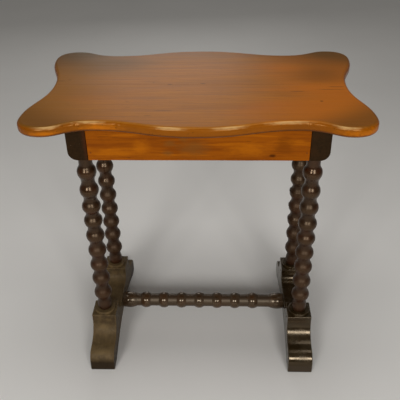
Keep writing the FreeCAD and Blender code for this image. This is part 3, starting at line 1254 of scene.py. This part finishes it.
@dataclass
class BobbinLegs:
    """Four bobbin-turned legs with round tenons. Their places and lengths come from the frame."""

    finish: LegStain
    wander: dict[str, tuple[float, ...]]
    bobbin_count: int = 9
    bobbin_radius: float = 23.5 * MM
    neck_radius: float = 16.5 * MM
    valley_radius: float = 21 * MM
    neck_length: float = 24 * MM
    base_length: float = 33.5 * MM
    base_rise: float = 14 * MM
    base_radius: float = 19.2 * MM
    tenon_radius: float = 11 * MM
    housing_depth: float = 3 * MM
    steps_round: int = 56
    hollow_size: float = 30 * MM
    hollow_depth: float = 0.5 * MM

    def profile(self, wander: Sequence[float]) -> list[Vector]:
        """Profile of a leg from its lower to its upper tenon.

        Args:
            wander: How much higher than its even place each bobbin sits, in millimetres, the lowest first.

        Returns:
            Points in the plane of radius and height.
        """
        tenon_low, tenon_high = (corner.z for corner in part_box("leg_front_left"))
        foot_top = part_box("foot_left")[1].z
        bearer_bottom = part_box("bearer_left")[0].z
        low_valley = foot_top + self.base_length
        top_valley = bearer_bottom - self.neck_length
        pitch = (top_valley - low_valley) / self.bobbin_count
        base_middle = foot_top + self.base_rise
        base = Bead(low_valley - base_middle, self.base_radius, self.neck_radius, self.valley_radius)
        bobbin = Bead(pitch / 2, self.bobbin_radius, self.neck_radius, self.valley_radius)
        crowns = [low_valley + (number + 1 / 2) * pitch for number in range(self.bobbin_count)]
        points = base.profile(base_middle, low=foot_top)
        for crown in crowns:
            points += bobbin.profile(crown)[1:]
        shoulder = bearer_bottom + self.housing_depth
        points.append(Vector((self.neck_radius, 0, shoulder)))
        # Known fault: a point that is raised past its crown counts again in the next stretch,
        # so the crowns of raised bobbins fold
        stations = [(foot_top, 0.0), *zip(crowns, wander), (shoulder, 0.0)]
        for (below, low_shift), (above, high_shift) in pairwise(stations):
            for point in [point for point in points if below < point.z <= above]:
                share = (point.z - below) / (above - below)
                point.z += (low_shift + share * (high_shift - low_shift)) * MM
        tenon = self.tenon_radius
        below = [Vector((0, 0, tenon_low)), Vector((tenon, 0, tenon_low)), Vector((tenon, 0, foot_top))]
        above = [Vector((tenon, 0, shoulder)), Vector((tenon, 0, tenon_high)), Vector((0, 0, tenon_high))]
        return below + points + above

    def build(self) -> None:
        """Build the four legs."""
        material = self.finish.material()
        for row in Row:
            for side in Side:
                place = f"{row.name}_{side.name}".lower()
                low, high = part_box("leg_" + place)
                profile = self.profile(self.wander[place])
                piece = turn("turned_leg_" + place, profile, Axis.Z, self.steps_round)
                middle = (low + high) / 2
                move_mesh(piece, Vector((middle.x, middle.y, 0)))
                uneven(piece, self.hollow_size, self.hollow_depth)
                finish_piece(piece, material, "leg_" + place)


@dataclass
class ShoeFeet:
    """Shoe feet: a square seat and round boss for each leg, coves, toes, an arch below and a dip between."""

    finishes: dict[Side, ShoeStain]
    boss_height: float = 7 * MM
    boss_side_margin: float = 4 * MM
    boss_end_margin: float = 2 * MM
    boss_edge_round: float = 2 * MM
    boss_edge_segments: int = 4
    boss_steps: int = 72
    toe_height: float = 58 * MM
    toe_round: float = 36 * MM
    toe_pad_length: float = 36 * MM
    arch_height: float = 38 * MM
    dip_depth: float = 38 * MM
    dip_cove_radius: float = 24 * MM
    curve_steps: int = 16
    dip_steps: int = 12
    edge_round: float = 2.5 * MM
    edge_segments: int = 3
    hollow_size: float = 45 * MM
    hollow_depth: float = 0.7 * MM

    def __post_init__(self) -> None:
        """Take the places of the legs and the width of a foot from the frame."""
        leg_low, leg_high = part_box("leg_rear_right")
        low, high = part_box("foot_right")
        self.leg_y = (leg_low.y + leg_high.y) / 2
        self.end = high.y
        self.width = high.x - low.x
        self.height = high.z
        self.boss_radius = self.width / 2 - self.boss_side_margin
        self.seat_top = self.height - self.boss_height

    def rear_outline(self) -> list[Vector]:
        """Side outline of the rear half of a foot.

        Returns:
            Points in the YZ plane, from the crown of the arch round the toe to the middle of the dip.
        """
        pad = self.end - self.toe_pad_length
        seat_half = self.boss_radius + self.boss_end_margin
        seat_end = self.leg_y + seat_half
        seat_start = self.leg_y - seat_half
        arch_radius = (pad ** 2 + self.arch_height ** 2) / (2 * self.arch_height)
        toe_side = self.toe_height - self.toe_round
        toe_top = self.end - self.toe_round
        cove_top = self.toe_height + toe_top - seat_end
        dip_floor = self.seat_top - self.dip_depth
        dip_top = dip_floor + self.dip_cove_radius
        dip_end = seat_start - self.dip_cove_radius
        arch = arc(Vector((0, 0, self.arch_height - arch_radius)),
                   Vector((0, 0, self.arch_height)), Vector((0, pad, 0)), self.curve_steps)
        toe = arc(Vector((0, toe_top, toe_side)),
                  Vector((0, self.end, toe_side)), Vector((0, toe_top, self.toe_height)), self.curve_steps)
        cove = arc(Vector((0, toe_top, cove_top)), Vector((0, toe_top, self.toe_height)),
                   Vector((0, seat_end, cove_top)), self.curve_steps)[1:]
        dip = arc(Vector((0, dip_end, dip_top)),
                  Vector((0, seat_start, dip_top)), Vector((0, dip_end, dip_floor)), self.dip_steps)
        seat = [Vector((0, seat_end, self.seat_top)), Vector((0, seat_start, self.seat_top))]
        return arch + [Vector((0, self.end, 0))] + toe + cove + seat + dip + [Vector((0, 0, dip_floor))]

    def add_boss(self, shoe: bpy.types.Object, middle: Vector) -> None:
        """Join a round boss with a softened rim to a foot.

        Args:
            shoe: The foot.
            middle: Point on the floor below the boss.
        """
        deselect_all()
        bpy.ops.mesh.primitive_cylinder_add(vertices=self.boss_steps, radius=self.boss_radius,
                                            depth=2 * self.boss_height,
                                            location=middle + Vector((0, 0, self.seat_top)))
        boss = bpy.context.object
        bpy.ops.object.transform_apply(location=True, rotation=True, scale=True)
        edit(boss)
        round_edges(boss, lambda edge: all(v.co.z > self.seat_top for v in edge.verts),
                    self.boss_edge_round, self.boss_edge_segments)
        deselect_all()
        apply_modifier(shoe, "BOOLEAN", operation="UNION", solver="EXACT", object=boss)
        bpy.data.objects.remove(boss)

    def build(self) -> None:
        """Build both feet."""
        for side in Side:
            node = "foot_" + side.name.lower()
            low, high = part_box(node)
            rear = self.rear_outline()
            front = [Vector((0, -point.y, point.z)) for point in reversed(rear[1:-1])]
            outline = [point + Vector((low.x, 0, 0)) for point in rear + front]
            piece = extrude_outline("shoe_" + side.name.lower(), outline, Vector((self.width, 0, 0)))
            soften(piece, self.edge_round, self.edge_segments)
            for row in Row:
                self.add_boss(piece, Vector(((low.x + high.x) / 2, row.value * self.leg_y, 0)))
            uneven(piece, self.hollow_size, self.hollow_depth)
            finish_piece(piece, self.finishes[side].material(), node)


@dataclass
class Stretcher:
    """Bobbin-turned rail between the feet, with a bulb at each end."""

    finish: RailStain
    bead_count: int = 7
    bead_pitch: float = 52 * MM
    bead_shift: float = -10 * MM
    bead_width: float = 31 * MM
    bulb_place: float = 17 * MM
    bulb_width: float = 50 * MM
    bead_radius: float = 23.5 * MM
    neck_radius: float = 18.3 * MM
    valley_radius: float = 5 * MM
    tenon_radius: float = 11 * MM
    steps_round: int = 56
    hollow_size: float = 30 * MM
    hollow_depth: float = 0.6 * MM

    def profile(self) -> list[Vector]:
        """Profile from the left to the right tenon.

        Returns:
            Points in the plane of radius and place along the rail.
        """
        tenon_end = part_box("stretcher")[1].x
        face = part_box("foot_right")[0].x
        bead = Bead(self.bead_width / 2, self.bead_radius, self.neck_radius, self.valley_radius)
        bulb = Bead(self.bulb_width / 2, self.bead_radius, self.neck_radius, self.valley_radius)
        points = [Vector((0, 0, -tenon_end)), Vector((self.tenon_radius, 0, -tenon_end)),
                  Vector((self.tenon_radius, 0, -face))]
        points += bulb.profile(self.bulb_place - face, low=-face)
        first = self.bead_shift - self.bead_pitch * (self.bead_count - 1) / 2
        for number in range(self.bead_count):
            points += bead.profile(first + number * self.bead_pitch)
        points += bulb.profile(face - self.bulb_place, high=face)
        return points + [Vector((self.tenon_radius, 0, face)), Vector((self.tenon_radius, 0, tenon_end)),
                         Vector((0, 0, tenon_end))]

    def build(self) -> None:
        """Build the rail."""
        low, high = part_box("stretcher")
        axis_level = (low.z + high.z) / 2
        profile = [Vector((point.z, 0, point.x)) for point in self.profile()]
        piece = turn("turned_stretcher", profile, Axis.X, self.steps_round)
        move_mesh(piece, Vector((0, 0, axis_level)))
        uneven(piece, self.hollow_size, self.hollow_depth)
        finish_piece(piece, self.finish.material(), "stretcher")


def dress_nodes(nodes: Sequence[str], material: bpy.types.Material) -> None:
    """Give nodes of the frame that are shown as they are their finish.

    Args:
        nodes: Names of the nodes.
        material: Their finish.
    """
    for node in nodes:
        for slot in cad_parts[node].material_slots:
            slot.material = material
        log.info("%s keeps its shape", node)


@dataclass(frozen=True)
class SoftBox:
    """One soft box: where it hangs, where it points, its width and height, and the glow of its face.

    A glow of 1 is a white that is fully lit.
    """

    name: str
    place: tuple[float, float, float]
    target: tuple[float, float, float]
    size: tuple[float, float]
    glow: float

    def hang(self) -> None:
        """Hang the box where the camera doesn't see it."""
        width, height = self.size
        data = bpy.data.lights.new(self.name, "AREA")
        data.shape = "RECTANGLE"
        data.size = width
        data.size_y = height
        data.energy = self.glow * math.pi * width * height
        lamp = bpy.data.objects.new(self.name, data)
        bpy.context.scene.collection.objects.link(lamp)
        lamp.location = self.place
        way = Vector(self.target) - Vector(self.place)
        lamp.rotation_euler = way.to_track_quat("-Z", "Y").to_euler()
        lamp.visible_camera = False


@dataclass
class Studio:
    """Pale floor, soft boxes at the front, above and behind, and the camera of the photograph."""

    boxes: tuple[SoftBox, ...]
    room_colour: str = "#F2F0EC"
    room_strength: float = 0.15
    floor_size: float = 14.0
    floor_colour: str = "#ECE9E4"
    floor_cloud_colour: str = "#F0EDE8"
    floor_cloud_size: float = 0.5
    floor_roughness: tuple[float, float] = (0.85, 0.95)
    sensor_width: float = 36.0
    focal_pixels: float = 597.21
    place: tuple[float, float, float] = (0.0508, -1.3079, 1.2760)
    pitch: float = 33.35
    yaw: float = -2.345
    roll: float = -1.02

    def floor(self) -> None:
        """Lay the floor, which is matt paint: pale, even and without gloss to the eye."""
        deselect_all()
        bpy.ops.mesh.primitive_plane_add(size=self.floor_size)
        floor = bpy.context.object
        floor.name = "floor"
        tree = Tree("matt_floor_paint")
        tone = tree.figure((self.floor_cloud_size,) * 3, detail=2.0)
        roughness = tree.scaled(tone, target=self.floor_roughness)
        colour = tree.lay(self.floor_colour, [Layer(tone, 0.2, 0.8, self.floor_cloud_colour)])
        floor.data.materials.append(tree.close(colour, roughness, tone, 0.0, Specular_IOR_Level=0.2))

    def lights(self) -> None:
        """Hang the soft boxes and set the even light of the room."""
        for box in self.boxes:
            box.hang()
        world = bpy.data.worlds.new("room")
        bpy.context.scene.world = world
        world.use_nodes = True
        sky = world.node_tree.nodes["Background"]
        sky.inputs["Color"].default_value = linear(self.room_colour)
        sky.inputs["Strength"].default_value = self.room_strength

    def camera(self) -> None:
        """Set up the camera at the photograph's place."""
        data = bpy.data.cameras.new("camera")
        data.sensor_width = self.sensor_width
        data.lens = self.focal_pixels / PHOTO_WIDTH * data.sensor_width
        camera = bpy.data.objects.new("camera", data)
        bpy.context.scene.collection.objects.link(camera)
        pitch, yaw, roll = (math.radians(angle) for angle in (self.pitch, self.yaw, self.roll))
        ahead = math.cos(pitch)
        forward = Vector((math.sin(yaw) * ahead, math.cos(yaw) * ahead, -math.sin(pitch)))
        right = Vector((math.cos(yaw), -math.sin(yaw), 0))
        up = right.cross(forward)
        level_right = math.cos(roll) * right + math.sin(roll) * up
        level_up = math.cos(roll) * up - math.sin(roll) * right
        turn_matrix = Matrix((level_right, level_up, -forward)).transposed()
        camera.matrix_world = Matrix.Translation(self.place) @ turn_matrix.to_4x4()
        bpy.context.scene.camera = camera

    def build(self) -> None:
        """Set up floor, light and camera."""
        self.floor()
        self.lights()
        self.camera()
        bpy.context.scene.view_settings.view_transform = "Standard"


# Marks on the flat of the top: painted shade at its rear that stands in for a darker reflection, dark marks
# along its joint, streaks and a knot
TOP_SHADES = (
    Mark((-320, 195, 737), (90, 55, 20)),
    Mark((-210, 224, 737), (150, 30, 20)),
    Mark((310, 190, 737), (130, 75, 20)),
    Mark((215, 215, 737), (120, 36, 20)),
    Mark((-235, 140, 737), (170, 75, 20)),
    Mark((290, 70, 737), (95, 75, 20)),
)
TOP_STAINS = (
    Mark((-326, 22, 737), (18, 2.2, 4)),
    Mark((-309, 28, 737), (6, 2.0, 4)),
    Mark((-68, -1, 737), (8, 2.5, 4)),
    Mark((-107, 9, 737), (4, 1.6, 4)),
    Mark((9, 4, 737), (9, 2.6, 4)),
    Mark((-73, -145, 737), (26, 2.0, 4)),
    Mark((-102, -170, 737), (13, 1.6, 4)),
    Mark((222, -42, 737), (25, 1.8, 4)),
    Mark((298, -32, 737), (44, 1.6, 4)),
    Mark((315, -16, 737), (26, 1.8, 4)),
)
TOP_KNOTS = (Mark((270, -96, 737), (5, 3.4, 4)),)

# Thick and thin shellac on the front edge, and painted highlights on its upper round
EDGE_BRIGHT = (
    Mark((-310, -224, 722), (36, 30, 6)),
    Mark((-200, -200, 723), (45, 40, 9)),
    Mark((346, -205, 723), (62, 60, 12)),
)
EDGE_DULL = (Mark((215, -200, 723), (55, 40, 12)),)
EDGE_HIGHLIGHTS = (
    Mark((-300, -224, 736), (34, 16, 5)),
    Mark((-222, -200, 736), (34, 16, 5)),
    Mark((-52, -224, 736), (38, 16, 5)),
    Mark((72, -222, 736), (42, 16, 5)),
    Mark((192, -200, 736), (50, 16, 5)),
    Mark((300, -224, 736), (34, 16, 5)),
)

# Knocks in the rounded edge of the top
TOP_DENTS = (
    Dent((-247, -203, 733), 1.6, 7),
    Dent((-170, -214, 732), 1.0, 5),
    Dent((-157, -203, 734), 0.8, 4),
    Dent((-3, -228, 728), 1.3, 6),
    Dent((232, -198, 732), 1.0, 5),
    Dent((306, -228, 728), 1.5, 7),
    Dent((352, -214, 730), 1.0, 5),
    Dent((366, 120, 731), 1.2, 6),
    Dent((-120, 212, 731), 1.2, 6),
)

# Patches on the front rail and on the rear one
RAIL_BRIGHT = (
    Mark((-190, -131, 628), (58, 20, 11)),
    Mark((-128, -131, 640), (22, 20, 22)),
    Mark((112, -131, 636), (58, 20, 17)),
    Mark((60, 131, 640), (80, 20, 20)),
)
RAIL_DULL = (
    Mark((-62, -131, 650), (15, 20, 9)),
    Mark((-34, -131, 662), (11, 20, 7)),
    Mark((-68, -131, 626), (13, 20, 8)),
    Mark((-10, -131, 640), (40, 20, 24)),
)
RAIL_SHADED = (
    Mark((192, -131, 645), (24, 20, 28)),
    Mark((-90, 131, 640), (30, 20, 24)),
)
RAIL_KNOTS = (
    Mark((167, -131, 620), (11, 20, 5.5)),
    Mark((-150, 131, 650), (9, 20, 6)),
)

# Reddened end of the left beam
BEAM_REDDENED = (Mark((-251, -132, 655), (9, 8, 60)),)

# How far each bobbin of a leg is off its even place, in millimetres, from the lowest up
LEG_WANDER = {
    "front_left": (-4.0, 0.6, -0.9, 0.1, -0.1, -0.4, -5.4, -4.3, 1.1),
    "front_right": (-4.6, -4.5, -2.6, -4.2, -4.3, -6.5, -5.6, -5.2, 0.2),
    "rear_left": (-4.8, -1.6, -3.9, -5.3, -5.7, -7.1, -6.0, -4.0, -2.0),
    "rear_right": (-2.1, 4.2, 6.0, 6.3, 5.9, 0.8, 0.0, 0.0, 0.0),
}

# Scratches through the varnish of the legs
LEG_SCRATCHES = (
    Mark((-256, -116, 489), (4, 4, 1.4)),
    Mark((-256, 77, 300), (3, 3, 2.2)),
    Mark((268, -119, 589), (2.5, 4, 2.5)),
    Mark((-262, -122, 247), (3, 3, 2)),
)

# Patches on the cove and the toe of the left foot, pale wear that is also painted highlight, and a dark spot
# on its front
SHOE_WORN_AND_HIGHLIT = (
    Mark((-270, -138, 84), (24, 12, 12)),
    Mark((-266, -198, 51), (26, 14, 6)),
)
SHOE_SPOTS = (Mark((-254, -207, 49), (4, 3, 3)),)

# Two boxes in front on either side, a panel above and a panel behind
SOFT_BOXES = (
    SoftBox("left_box", (-1.05, -2.9, 1.75), (0, -0.1, 0.5), (0.85, 0.8), 15.0),
    SoftBox("right_box", (0.9, -2.9, 1.75), (0, -0.1, 0.5), (0.85, 0.8), 15.0),
    SoftBox("ceiling_panel", (0, 0, 2.4), (0, 0, 0.7), (1.6, 0.8), 3.1),
    SoftBox("rear_panel", (-0.3, 2.6, 1.5), (0, 0, 0.7), (1.1, 0.9), 1.75),
)


def main() -> None:
    """Build the table piece by piece, then the studio."""
    logging.basicConfig(level=logging.INFO, format="%(message)s")
    top_pine = TopShellac("worn_shellac_on_pine_top", "#A4620E", "#8C5210", "#B27220",
                          shades=TOP_SHADES, stains=TOP_STAINS, knots=TOP_KNOTS,
                          painted_edge_highlights=EDGE_HIGHLIGHTS, bright_edge=EDGE_BRIGHT, dull_edge=EDGE_DULL)
    rail_pine = RailShellac("amber_shellac_on_pine_rails", "#964D07", "#7C3B07", "#B26209",
                            bright=RAIL_BRIGHT, dull=RAIL_DULL, shaded=RAIL_SHADED, knots=RAIL_KNOTS)
    beam_stain = Stain("dark_stain_on_beech_beams", "#261809", "#2E1E0D", "#35200D", Axis.Y,
                       gloss=0.46, level=0.1, reddened=BEAM_REDDENED)
    leg_stain = LegStain("dark_stain_on_turned_beech_legs", "#221206", "#33200E", "#3E1A08", Axis.Z,
                         gloss=0.14, dullness=0.32, level=0.65, relief=0.015 * MM, sheen="#F2D2AE",
                         rub_size=40 * MM, scratches=LEG_SCRATCHES)
    rail_stain = RailStain("polished_stain_on_turned_beech_rail", "#38281A", "#4C3A28", "#452C18", Axis.X,
                           gloss=0.12, dullness=0.33, level=1.0, relief=0.04 * MM, sheen="#F0DCC0")
    shoe_stains = {
        Side.LEFT: ShoeStain("worn_stain_on_left_beech_foot", "#3F3220", "#52432F", "#4A3722", Axis.Y,
                             gloss=0.42, level=0.22, wear=0.7, worn_and_highlit=SHOE_WORN_AND_HIGHLIT, spots=SHOE_SPOTS),
        Side.RIGHT: ShoeStain("glossy_stain_on_right_beech_foot", "#170F04", "#221708", "#201205", Axis.Y,
                              gloss=0.1, dullness=0.2, level=0.85, relief=0.05 * MM, sheen="#F2DAB8",
                              rub_size=20 * MM, wear=0.12),
    }
    PlankTop(top_pine, TOP_DENTS).build()
    ApronRails(rail_pine).build()
    Bearers(beam_stain).build()
    BobbinLegs(leg_stain, LEG_WANDER).build()
    ShoeFeet(shoe_stains).build()
    Stretcher(rail_stain).build()
    peg_stain = Stain("dark_stain_on_beech_pegs", "#362617", "#4A3524", "#55402C", Axis.X)
    dress_nodes(["leg_bearer_pegs", "leg_foot_pegs", "stretcher_pegs"], peg_stain.material())
    dress_nodes(["glue_blocks_front", "glue_blocks_rear"], BareWood("bare_pine_blocks").material())
    dress_nodes(["top_screws"], OldIron("browned_iron_screws", "#2B2622", "#5A3A22", 0.7).material())
    nail_finish = OldIron("shellacked_iron_nails", "#7A3E08", "#8E4A0A", 0.0, 0.1)
    dress_nodes(["apron_nails_front", "apron_nails_rear"], nail_finish.material())
    Studio(SOFT_BOXES).build()


if __name__ == "__main__":
    main()
